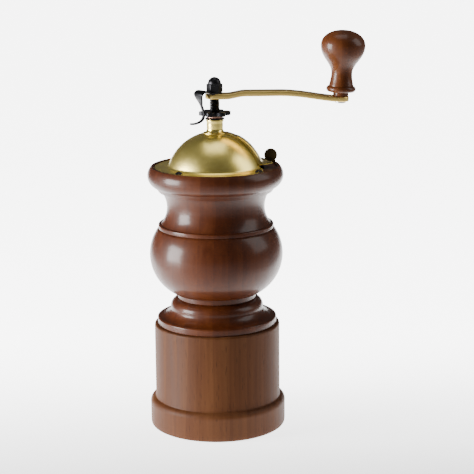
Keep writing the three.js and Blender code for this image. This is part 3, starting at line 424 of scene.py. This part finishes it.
def instance_tree(name, screw):
    """A tree that sets one screw on each point of the mesh, turned by its point's own angle."""
    tree = bpy.data.node_groups.new(name, "GeometryNodeTree")
    tree.interface.new_socket("Places", in_out="INPUT", socket_type="NodeSocketGeometry")
    scale = tree.interface.new_socket("Screw size", in_out="INPUT", socket_type="NodeSocketFloat")
    scale.default_value = 1.0
    tree.interface.new_socket("Screws", in_out="OUTPUT", socket_type="NodeSocketGeometry")
    entry = tree.nodes.new("NodeGroupInput")
    leave = tree.nodes.new("NodeGroupOutput")
    source = add(tree, "GeometryNodeObjectInfo", {"transform_space": "ORIGINAL"}, Object=screw)
    angle = add(tree, "GeometryNodeInputNamedAttribute", {"data_type": "FLOAT_VECTOR"}, Name="turn")
    setting = add(tree, "GeometryNodeInstanceOnPoints", Points=entry.outputs[0],
                  Instance=source.outputs["Geometry"],
                  Rotation=angle.outputs[0], Scale=entry.outputs[1])
    real = add(tree, "GeometryNodeRealizeInstances", Geometry=setting.outputs[0])
    finish = add(tree, "GeometryNodeSetMaterial", Geometry=real.outputs[0])
    tree.links.new(finish.outputs[0], leave.inputs[0])
    return tree, scale.identifier, finish


def set_screws(name, head, rise, shank, length, slot_width, places, turns, material, flip=False):
    """Slotted round-head screws at places in mm, as one mesh."""
    dome = (head ** 2 + rise ** 2) / (2 * rise)
    edge = math.asin((dome - rise) / dome)
    curve = [(dome * math.cos(edge + (math.pi / 2 - edge) * i / 8),
              rise - dome + dome * math.sin(edge + (math.pi / 2 - edge) * i / 8)) for i in range(9)]
    curve[-1] = (0, rise)
    model = lathe("screw", [(0, -length), (shank * 0.3, -length + 1), (shank, -length + 3),
                            (shank, -0.02),
                            (head - 0.15, -0.02), (head, 0.1), *curve[1:]], around=32, closed=False)
    w = slot_width / 2
    blade_plan = ((-head - 1, -w), (head + 1, -w), (head + 1, w), (-head - 1, w))
    cut_away(model, upright("blade", blade_plan, rise * 0.4, rise + 1))
    piece = mesh_piece(name, places, [])
    turn = piece.data.attributes.new("turn", "FLOAT_VECTOR", "POINT")
    for i, angle in enumerate(turns):
        turn.data[i].vector = (math.pi if flip else 0, 0, math.radians(angle))
    tree, size_socket, finish = instance_tree(name, model)
    finish.inputs["Material"].default_value = material
    pattern = piece.modifiers.new("screws", "NODES")
    pattern.node_group = tree
    pattern[size_socket] = 1.0
    settle(piece)
    bpy.data.objects.remove(model)
    return piece


black_steel = metal("blackened steel", ((0.012, 0.012, 0.014), (0.035, 0.034, 0.036)), rough=0.36,
                    spread=0.12)
circle = 34.7
azimuths = (-40, 40, 130, 230)
cap_screws = set_screws(
    "cap_screws", 2.4, 1.5, 1.25, 9, 0.6,
    [(circle * math.cos(math.radians(a)), circle * math.sin(math.radians(a)), cap_base + cap_sheet)
     for a in azimuths],
    [25 + 70 * i for i in range(4)], black_steel)
dress(cap_screws, black_steel, "black_steel", "mill", *[f"dome_screw_{i}" for i in (1, 2, 3, 4)])

# Filling door.
# The door is a second brass sheet that lies over the dome and turns round the
# neck on a ring. Two ribs are pressed into it, and its foot turns out over the
# flange as a tongue that clears the screw heads.
door_gap, door_sheet, door_half, door_rib = 0.12, 0.45, 25, 15.5
door_inner = dome_radius + door_gap
door_foot, tongue_tip, tongue_half = 30.2, 36.2, math.degrees(math.asin(9.2 / 30.2))
lip_low, lip_round = cap_sheet + 2, 1.8
hub_top = pad_rise + door_gap + door_sheet
full_sheet = sheet_outline(door_inner, door_sheet, lip_round, lip_low, tongue_tip + 1, 5.5, hub_top,
                           steps=40)


def door_section(angle):
    """The door's section at an angle: its sheet, its ribs, and as much of the tongue as there is."""
    share = min(1, abs(angle) / tongue_half)
    reach = door_foot + (tongue_tip - door_foot) * (1 - share ** 2) ** 0.85
    rib = math.exp(-((abs(angle) - door_rib) / 1.05) ** 2) * 0.35
    half = len(full_sheet) // 2
    section = []
    for k, (r, z) in enumerate(full_sheet):
        lift = 0
        if k > half:
            fade = max(0, min(1, (z - 6) / 2)) * max(0, min(1, (pad_rise - 1.2 - z) / 1.5))
            lift = rib * fade
            slope = math.atan2(z + 8.4, r)
            r, z = r + lift * math.cos(slope), z + lift * math.sin(slope)
        section.append((min(r, reach - (0.12 if k in (half - 2, half + 2) else 0)), z + cap_base))
    return section


door = lathe("door_leaf", door_section, around=120, span=(-door_half, door_half))
door_ring = lathe("door_ring", eased([
    (5.5, cap_base + hub_top - door_sheet - 0.02, 0.1),
    (7.4, cap_base + hub_top - door_sheet - 0.02, 0.1),
    (7.4, cap_base + hub_top + 0.03, 0.2), (5.5, cap_base + hub_top + 0.03, 0.1)], 3), around=96)
union = door.modifiers.new("ring", "BOOLEAN")
union.operation = "UNION"
union.solver = "EXACT"
union.object = door_ring
settle(door)
bpy.data.objects.remove(door_ring)
# A shade darker than the cap's brass: painted shade on the door.
door_brass_painted_shade = metal("door brass with painted shade", ((0.82, 0.64, 0.16), (0.88, 0.70, 0.21)), rough=0.32, lines=0.05,
                   spread=0.06)
dress(door, door_brass_painted_shade, "brass", "door", "filling_door")

# Finger tab.
# A flat round tab stands on the door's tongue to push it by. It is soldered in. Its
# dull dark brown is a painted dark reflection: its flat brass face turns to dark surroundings.


def face_outwards(piece, merge=0):
    """Turns the piece's faces outwards, after its doubles are merged where a distance is given."""
    shell = bmesh.new()
    shell.from_mesh(piece.data)
    if merge:
        bmesh.ops.remove_doubles(shell, verts=shell.verts, dist=merge)
    bmesh.ops.recalc_face_normals(shell, faces=shell.faces)
    shell.to_mesh(piece.data)
    shell.free()


def flat_piece(name, loop, half, edge=0.15, steps=3):
    """A flat piece in the XZ plane from a closed loop in mm, with eased edges and Y = 0 in its middle."""
    count = len(loop)
    normals = []
    for i in range(count):
        before, after = Vector(loop[i - 1]), Vector(loop[(i + 1) % count])
        way = (after - before).normalized()
        normals.append(Vector((way.y, -way.x)))
    layers = []
    for side in (-1, 1):
        for k in range(steps + 1):
            t = math.pi / 2 * (k / steps if side < 0 else 1 - k / steps)
            layers.append((edge * (1 - math.sin(t)), side * (half - edge + edge * math.cos(t))))
    points, faces = [], []
    for inset, y in layers:
        points += [(loop[i][0] - normals[i].x * inset, y,
                    loop[i][1] - normals[i].y * inset) for i in range(count)]
    for k in range(len(layers) - 1):
        for i in range(count):
            j = (i + 1) % count
            faces.append((k * count + i, k * count + j, (k + 1) * count + j, (k + 1) * count + i))
    faces.append(tuple(reversed(range(count))))
    faces.append(tuple((len(layers) - 1) * count + i for i in range(count)))
    piece = mesh_piece(name, points, faces)
    face_outwards(piece)
    piece.data.polygons.foreach_set("use_smooth", [True] * len(piece.data.polygons))
    piece.data.set_sharp_from_angle(angle=math.radians(38))
    return piece


tab_reach, tab_rise, tab_radius = 34.7, 7.7, 4.1
neck_low, neck_half = lip_low - 0.1, 1.05
neck_centre = 35.6 + neck_half
loop = [(neck_centre - neck_half, cap_base + neck_low), (neck_centre + neck_half, cap_base + neck_low)]
join_right, join_left = (
    math.atan2(-math.sqrt(tab_radius ** 2 - aside ** 2), aside)
    for aside in (neck_centre + neck_half - tab_reach, neck_centre - neck_half - tab_reach))
for i in range(49):
    a = join_right + (join_left + 2 * math.pi - join_right) * i / 48
    loop.append((tab_reach + tab_radius * math.cos(a), cap_base + tab_rise + tab_radius * math.sin(a)))
tab = flat_piece("finger_tab", loop, 0.5, 0.2)
# Dark brown base colour: painted dark reflection on the tab's flat brass face.
tab_brass_painted_dark = metal("brass with painted dark reflection", ((0.05, 0.034, 0.014), (0.10, 0.07, 0.03)), rough=0.42,
                  spread=0.14, bump=0.08)
dress(tab, tab_brass_painted_dark, "burnished_brass", "door", "door_tab")

# Neck.
# The neck is turned from brass bar and screwed through the dome, with a ring nut
# beneath. It has a flared foot, a straight waist and a slightly wider top.
neck_base = cap_base + pad_rise
foot_low, neck_height = door_gap + door_sheet + 0.1, 8.95
neck_bore, thread_radius, thread_end, collar_radius = 4.25, 4.9, -4.6, 5.2
neck_foot, neck_waist, neck_top = 5.95, 5.15, 5.5
foot_up, waist = (neck_foot, foot_low + 0.3), (neck_waist, foot_low + 2.8)
neck = lathe("neck_turning", [(r, z + neck_base) for r, z in eased([
    (neck_bore, thread_end, 0.2), (thread_radius, thread_end, 0.3), (thread_radius, 0),
    (collar_radius, 0),
    (collar_radius, foot_low, 0.05), (neck_foot, foot_low, 0.1), foot_up,
    *arc(foot_up, waist, -0.35, 12),
    (neck_waist, neck_height * 0.72, 2), (neck_top, neck_height - 0.9, 0.5),
    (neck_top, neck_height, 0.3),
    (neck_bore, neck_height, 0.15)])], around=96)
neck_brass = metal("turned brass", ((0.88, 0.69, 0.18), (0.94, 0.77, 0.24)), rough=0.24, lines=0.08,
                   line_scale=0.7, spread=0.04)
dress(neck, neck_brass, "brass", "mill", "neck")
bpy.data.objects["neck_nut"].material_slots[0].material = neck_brass

# Bush, thrust washer and adjusting disc.
# A dark bush lines the neck and ends in a flange on its top. On it turn a copper
# washer and a blackened disc with six round lobes, which sets how fine it grinds:
# the clip's leg holds it in one of the notches between them.
bush_bore, bush_radius, bush_brim = 3.45, 3.95, 6.05
bush_top = neck_height + 0.6
bush = lathe("neck_lining", [(r, z + neck_base) for r, z in eased([
    (bush_bore, thread_end), (bush_radius, thread_end), (bush_radius, neck_height),
    (bush_brim, neck_height, 0.15), (bush_brim, bush_top, 0.2), (bush_bore, bush_top, 0.15)])],
    around=64)
dress(bush, black_steel, "black_steel", "mill", "neck_bush")

washer_base = neck_base + neck_height + 0.8
washer = lathe("copper_washer", [(r, z + washer_base) for r, z in eased([
    (3.4, 0, 0.1), (4.7, 0, 0.25), (4.7, 1.3, 0.25), (3.4, 1.3, 0.1)])], around=64)
copper = metal("dulled copper", ((0.42, 0.22, 0.16), (0.56, 0.33, 0.25)), rough=0.34, lines=0.3,
               line_scale=0.6)
dress(washer, copper, "copper", "crank", "thrust_washer")

disc_base, disc_thick = washer_base + 1.5, 2.6
disc_radius, notch_radius, lobes, clip_azimuth = 9.95, 7.1, 6, 215


def disc_section(angle):
    wave = (1 - math.cos(math.radians((angle - clip_azimuth) * lobes))) / 2
    edge = notch_radius + (disc_radius - notch_radius) * wave
    return [(r, z + disc_base) for r, z in eased([
        (3.4, 0, 0.2), (edge, 0, 0.45), (edge, disc_thick, 0.45), (3.4, disc_thick, 0.3)], 4)]


disc = lathe("adjusting_lobes", disc_section, around=240)
dress(disc, black_steel, "black_steel", "disc", "adjusting_disc")

# Shaft.
# A blackened steel rod runs from the cap nut down through the burrs. Its upper
# part is threaded for the disc, and its end is squared for the crank.
shaft_reach, arm_thick, clip_sheet = 7.9, 3.1, 1.1
arm_base = disc_base + disc_thick + shaft_reach
clip_base = arm_base + arm_thick
nut_base = clip_base + clip_sheet
cone_foot, washer_gap, burr_washer, burr_nut, shaft_tail = 58, 0.3, 1.2, 5, 0.9
shaft_foot = cone_foot - washer_gap - burr_washer - burr_nut - shaft_tail
pitch, crest = 1.0, 3.1
thread = []
level = disc_base - 0.5
while level < arm_base - 0.2:
    thread += [(crest - 0.28, level), (crest, level + pitch * 0.35), (crest, level + pitch * 0.65)]
    level += pitch
shaft = lathe("shaft_rod", [
    (0, shaft_foot), (crest - 0.6, shaft_foot), (crest, shaft_foot + 0.6), (crest, disc_base - 0.6),
    *thread,
    (crest - 0.28, arm_base), (crest - 0.28, nut_base + 5.8), (0, nut_base + 6)], around=48,
    closed=False)
shaft_steel = metal("blacked rod", ((0.010, 0.010, 0.011), (0.028, 0.027, 0.028)), rough=0.34,
                    spread=0.1)
dress(shaft, shaft_steel, "black_steel", "crank", "shaft")

# Crank arm.
# The arm is a flat brass bar, rounded at both ends and bent cold: up from the
# hub, level, and down to the knob. Its long faces are drawn, not polished.
arm_length, arm_hub, arm_end = 78.2, 5.9, 5.3
arm_rise, arm_drop, tilt = 1.7, 2.3, math.radians(2.5)


def smooth(x, low, high):
    t = max(0, min(1, (x - low) / (high - low)))
    return t * t * (3 - 2 * t)


def arm_level(x):
    raised = arm_rise * smooth(x, 7, 19)
    end = -arm_drop - math.tan(tilt) * (x - arm_length)
    return raised + (end - raised) * smooth(x, 40, 76)


def arm_half(x, inset):
    """Half the arm's width at x, with its edge drawn in all round by the inset."""
    hub, end = arm_hub - inset, arm_end - inset
    if x < 0:
        return math.sqrt(max(0, hub ** 2 - x ** 2))
    if x > arm_length:
        return math.sqrt(max(0, end ** 2 - (x - arm_length) ** 2))
    return hub + (end - hub) * x / arm_length


edge, rows, stations = 0.55, [], 110
for k in range(5):
    t = math.pi / 2 * k / 4
    rows.append((edge * (1 - math.sin(t)), edge * (1 - math.cos(t))))
rows = rows + [(inset, arm_thick - rise) for inset, rise in reversed(rows)]
points, faces = [], []
for inset, rise in rows:
    for side in (-1, 1):
        for i in range(stations + 1):
            t = i / stations
            ease = (1 - math.cos(math.pi * t)) / 2
            share = 0.55 * t + 0.45 * ease
            x = -(arm_hub - inset) + (arm_length + arm_hub + arm_end - 2 * inset) * share
            y = arm_half(x, inset) * side
            points.append((x, y, arm_base + arm_level(x) + rise))
per = stations + 1
for k in range(len(rows) - 1):
    for side in (0, 1):
        for i in range(stations):
            a = (2 * k + side) * per + i
            b = a + 2 * per
            quad = (a, a + 1, b + 1, b)
            faces.append(quad if side == 0 else tuple(reversed(quad)))
for k, up in ((0, False), (len(rows) - 1, True)):
    for i in range(stations):
        a = 2 * k * per + i
        quad = (a, a + 1, a + per + 1, a + per)
        faces.append(quad if up else tuple(reversed(quad)))
arm = mesh_piece("crank_bar", points, faces)
face_outwards(arm, merge=1e-7)
arm.data.polygons.foreach_set("use_smooth", [True] * len(arm.data.polygons))
arm.data.set_sharp_from_angle(angle=math.radians(38))
arm_brass = metal("drawn brass", ((0.74, 0.52, 0.16), (0.84, 0.61, 0.20)), rough=0.34, lines=0.08,
                  around=False, spread=0.06)
dress(arm, arm_brass, "brass", "crank", "crank_arm")

# Lock clip.
# The clip is one strip of blackened spring steel under the cap nut. It arches
# out over the hub's edge and drops as a narrow leg into a notch of the disc, and
# its curled tail is the grip that frees it.
clip_width, leg_width, arch, flex_reach = 9.4, 2.0, 1.55, 8.8
middle = clip_sheet / 2
crown = middle + arch
notch_reach = notch_radius + 0.6 + middle + 0.1
route = [(-4.7, middle), (-2, middle), (1, middle), (4, middle), (5.5, middle + 0.05),
         (7.4, crown - 0.35), (9.2, crown),
         (10.9, crown - 0.4), (12.1, 0.3), (11.8, -1.8), (10.9, -4), (10.1, -6.3), (9.2, -8.8),
         (notch_reach, -11.2),
         (notch_reach, -13.6), (9.7, -15.8), (12, -17), (15, -17.6), (18.2, -17.5)]


def through(points, t):
    """A point of the smooth curve through the points, and the way it goes there."""
    spans = len(points) - 1
    at = min(int(t * spans), spans - 1)
    u = t * spans - at
    p = [Vector(points[max(0, min(spans, at + k))]) for k in (-1, 0, 1, 2)]
    spot = 0.5 * ((2 * p[1]) + (p[2] - p[0]) * u + (2 * p[0] - 5 * p[1] + 4 * p[2] - p[3]) * u ** 2
                  + (3 * p[1] - p[0] - 3 * p[2] + p[3]) * u ** 3)
    way = 0.5 * ((p[2] - p[0]) + 2 * (2 * p[0] - 5 * p[1] + 4 * p[2] - p[3]) * u
                 + 3 * (3 * p[1] - p[0] - 3 * p[2] + p[3]) * u ** 2)
    return spot, way.normalized()


def strip_half(spot):
    """Half the strip's width: round behind the shaft, wide to the bend, narrow below."""
    if spot.x < 5 and spot.y > -3:
        back = min(0, spot.x)
        return math.sqrt(max(0.01, (clip_width / 2) ** 2 - back ** 2))
    taper = max(0, min(1, (0.6 - spot.y) / 7.1))
    return clip_width / 2 + (leg_width / 2 - clip_width / 2) * taper


soft = 0.22
section = []
for corner_y, corner_z, begin in ((1, 1, 0), (-1, 1, 90), (-1, -1, 180), (1, -1, 270)):
    for k in range(4):
        a = math.radians(begin + 30 * k)
        section.append((corner_y, soft * math.cos(a), corner_z * (middle - soft) + soft * math.sin(a)))
turn = math.radians(clip_azimuth)
outward, sidelong = Vector((math.cos(turn), math.sin(turn), 0)), Vector((-math.sin(turn), math.cos(turn), 0))
points, faces, stations = [], [], 240
for i in range(stations + 1):
    spot, way = through(route, i / stations)
    half = max(soft + 0.02, strip_half(spot))
    for side, dy, dz in section:
        y = side * (half - soft) + dy
        place = outward * (spot.x - way.y * dz) + sidelong * y
        points.append((place.x, place.y, clip_base + spot.y + way.x * dz))
per = len(section)
for i in range(stations):
    for k in range(per):
        j = (k + 1) % per
        faces.append((i * per + k, i * per + j, (i + 1) * per + j, (i + 1) * per + k))
faces.append(tuple(reversed(range(per))))
faces.append(tuple(stations * per + k for k in range(per)))
clip = mesh_piece("clip_strip", points, faces, sharp=50)
face_outwards(clip)
clip.data.materials.append(black_steel)
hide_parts("lock_clip", "lock_leg")
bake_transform(clip)

# Cap nut.
# A domed cap nut of blackened steel clamps the clip and the arm on the shaft. Its
# hexagon is chamfered at both ends.
nut_flats, hex_height, nut_dome = 9.0, 5.0, 4.15


def nut_section(angle):
    """The nut's outline at an angle, with its six flats cut back by the chamfers."""
    off = math.radians((angle % 60) - 30)
    flat = nut_flats / 2 / math.cos(off)
    corner = nut_flats / math.sqrt(3)
    flat = min(flat, corner - 0.12)
    points = [(0, 0), (min(flat, corner - 0.55) - 0.1, 0)]
    points += [(min(flat, corner - 0.5 + 0.5 * i / 3), 0.35 * i / 3) for i in range(4)]
    points += [(min(flat, corner - 0.6 * i / 4), hex_height - 0.45 + 0.45 * i / 4) for i in range(5)]
    points += [(nut_dome + 0.12, hex_height + 0.01), (nut_dome, hex_height + 0.12)]
    points += [(nut_dome * math.cos(math.pi / 2 * i / 12),
                hex_height + 0.12 + nut_dome * math.sin(math.pi / 2 * i / 12))
               for i in range(1, 12)]
    points += [(0, hex_height + 0.12 + nut_dome)]
    return [(r, z + nut_base) for r, z in points]


nut = lathe("domed_nut", nut_section, around=120, closed=False, sharp=25)
dress(nut, black_steel, "black_steel", "crank", "cap_nut")

# Spindle and hand knob.
# The knob is turned from the body's wood, pear-shaped over a bead, and lacquered.
# It spins on a steel spindle that is riveted through the arm's end with a
# low round head.
arm_tip = Matrix.Translation((arm_length / 1000, 0, (arm_base - arm_drop) / 1000))
knob_seat = arm_tip @ Matrix.Rotation(tilt, 4, "Y")
spindle = lathe("spindle_rivet", eased([
    (0, -1.4), (2.2, -1.4, 0.8), (3.4, -0.9, 0.3), (3.4, -0.3), (2, -0.3), (2, arm_thick + 24, 0.3),
    (0, arm_thick + 24)]),
    around=48, closed=False)
spindle.data.transform(knob_seat)
steel = metal("bright steel", ((0.40, 0.40, 0.41), (0.56, 0.56, 0.57)), rough=0.3, spread=0.1)
dress(spindle, steel, "steel", "crank", "knob_spindle")

knob_outline = [(2.3, 0.1), (4.6, 0.1), (4.8, 0.3), (4.8, 2.3)]
knob_outline += arc((7.25, 2.6), (7.65, 6.4), 1.7, 16)
knob_outline += [(7.6, 6.8)]


def bezier(points, steps):
    """Points of a Bezier curve, after its first."""
    out = []
    for i in range(1, steps + 1):
        work = [Vector(p) for p in points]
        while len(work) > 1:
            work = [a.lerp(b, i / steps) for a, b in zip(work, work[1:])]
        out.append((work[0].x, work[0].y))
    return out


knob_outline += bezier([(7.6, 6.8), (6.4, 11.5), (6.5, 14.5)], 12)
knob_outline += bezier([(6.5, 14.5), (6.7, 20.5), (13.8, 23.5), (13.8, 31.4)], 24)
knob_outline += bezier([(13.8, 31.4), (13.8, 36.7), (8.4, 40.9), (0, 40.9)], 24)
knob_outline += [(0, 24.3), (2.3, 24.3)]
knob = lathe("knob_turning", [(r, z + arm_thick) for r, z in knob_outline], around=128)
knob.data.transform(knob_seat)
knob_wood = turned_wood("gloss lacquered knob",
                        ((0.032, 0.0068, 0.0010), (0.072, 0.0175, 0.0024), (0.125, 0.036, 0.0052)),
                        gloss=0.5, coat=0.3, centre=(0.02, 0.013, 0.1), figure=0.35, pore=0.2,
                        bump=0.01)
dress(knob, knob_wood, "lacquered_wood", "knob", "hand_knob")

# Burrs and what holds them.
# A cast holder is screwed up into the body from below and carries the ring burr.
# The cone burr turns in it on the shaft, pressed down by a spring, with its
# washer and nut below. The holder is cast iron, its bridge bush bronze, and the rest plain or ground steel.
cast_iron = metal("cast iron", ((0.10, 0.10, 0.105), (0.19, 0.19, 0.195)), rough=0.55, spread=0.12,
                  bump=0.25)
bronze = metal("bearing bronze", ((0.34, 0.22, 0.10), (0.46, 0.31, 0.15)), rough=0.4)
steel_nodes = ("retaining_plate", "ring_burr", "cone_burr", "shaft_spring", "spring_washer",
               "burr_washer",
               "burr_nut", "holder_screw_1", "holder_screw_2", "holder_screw_3")
for node, finish in (("burr_holder", cast_iron), ("bridge_bush", bronze),
                     *((name, steel) for name in steel_nodes)):
    bpy.data.objects[node].material_slots[0].material = finish

# Floor, light and view.
# The mill stands on a plain pale sweep, lit by a tall soft box at the left, a
# higher and weaker one at the right and a soft top light.
floor = mesh_piece("floor", [(-6000, -3000, 0), (6000, -3000, 0), (6000, 12000, 0),
                             (-6000, 12000, 0)], [(0, 1, 2, 3)])
view_distance, view_height = 0.96, 0.3389
floor_finish, tree, shader = new_material("pale sweep")
shader.inputs["Base Color"].default_value = (0.86, 0.86, 0.86, 1)
shader.inputs["Roughness"].default_value = 0.4
shader.inputs["Emission Color"].default_value = (1, 1, 1, 1)
floor_place = add(tree, "ShaderNodeTexCoord").outputs["Object"]
floor_parts = add(tree, "ShaderNodeSeparateXYZ", Vector=floor_place)
# The sweep glows as well as taking light. Its glow climbs from low in front of the mill to full behind it,
# so the floor under and before the mill stays grey: painted shade for the mill's soft shadow, which also
# keeps the floor's reflection in the wood dim. Beside the view the glow fades out.
floor_glow_painted_shade = add(tree, "ShaderNodeMapRange", {"interpolation_type": "SMOOTHSTEP"},
           Value=floor_parts.outputs[1],
           i1=-0.24, i2=0.22, i3=0.3, i4=6.5).outputs[0]
depth = add(tree, "ShaderNodeMath", {"operation": "ADD"}, i0=floor_parts.outputs[1],
            i1=view_distance).outputs[0]
side = add(tree, "ShaderNodeMath", {"operation": "ABSOLUTE"}, i0=floor_parts.outputs[0]).outputs[0]
spread = add(tree, "ShaderNodeMath", {"operation": "DIVIDE"}, i0=side, i1=depth).outputs[0]
wide = add(tree, "ShaderNodeMapRange", {"interpolation_type": "SMOOTHSTEP"}, Value=spread,
           i1=0.19, i2=0.36, i3=1.0, i4=0.04).outputs[0]
glow = add(tree, "ShaderNodeMath", {"operation": "MULTIPLY"}, i0=floor_glow_painted_shade, i1=wide)
tree.links.new(glow.outputs[0], shader.inputs["Emission Strength"])
floor.data.materials.append(floor_finish)

world = bpy.data.worlds.new("studio")
bpy.context.scene.world = world
world.use_nodes = True
world.node_tree.nodes["Background"].inputs["Color"].default_value = (1, 1, 1, 1)
world.node_tree.nodes["Background"].inputs["Strength"].default_value = 0.1


def soft_box(name, place, aim, width, height, power, tint=(1, 1, 1)):
    lamp = bpy.data.lights.new(name, "AREA")
    lamp.shape = "RECTANGLE"
    lamp.size, lamp.size_y = width, height
    lamp.energy = power
    lamp.color = tint
    holder = bpy.data.objects.new(name, lamp)
    bpy.context.collection.objects.link(holder)
    holder.location = place
    holder.rotation_euler = (Vector(aim) - Vector(place)).to_track_quat("-Z", "Y").to_euler()


soft_box("left_box", (-0.85, -0.2, 0.24), (0, 0, 0.13), 0.42, 0.46, 27)
soft_box("right_box", (0.9, -0.06, 0.66), (0, 0, 0.16), 0.6, 0.8, 5)
soft_box("top_box", (0, 0.1, 1.3), (0, 0, 0.1), 0.7, 0.7, 3.5)

camera = bpy.data.cameras.new("view")
camera.sensor_width = 36
camera.lens = 1553.3 / 474 * 36
camera.clip_end = 50
viewer = bpy.data.objects.new("view", camera)
bpy.context.collection.objects.link(viewer)
pitch_down, yaw, roll = math.radians(12.74), math.radians(0.788), math.radians(-0.48)
ahead = Vector((math.sin(yaw) * math.cos(pitch_down), math.cos(yaw) * math.cos(pitch_down),
                -math.sin(pitch_down)))
level_right = Vector((math.cos(yaw), -math.sin(yaw), 0))
level_up = level_right.cross(ahead)
right = level_right * math.cos(roll) + level_up * math.sin(roll)
up = level_up * math.cos(roll) - level_right * math.sin(roll)
viewer.matrix_world = Matrix((
    (right.x, up.x, -ahead.x, 0),
    (right.y, up.y, -ahead.y, -view_distance),
    (right.z, up.z, -ahead.z, view_height),
    (0, 0, 0, 1)))
bpy.context.scene.camera = viewer
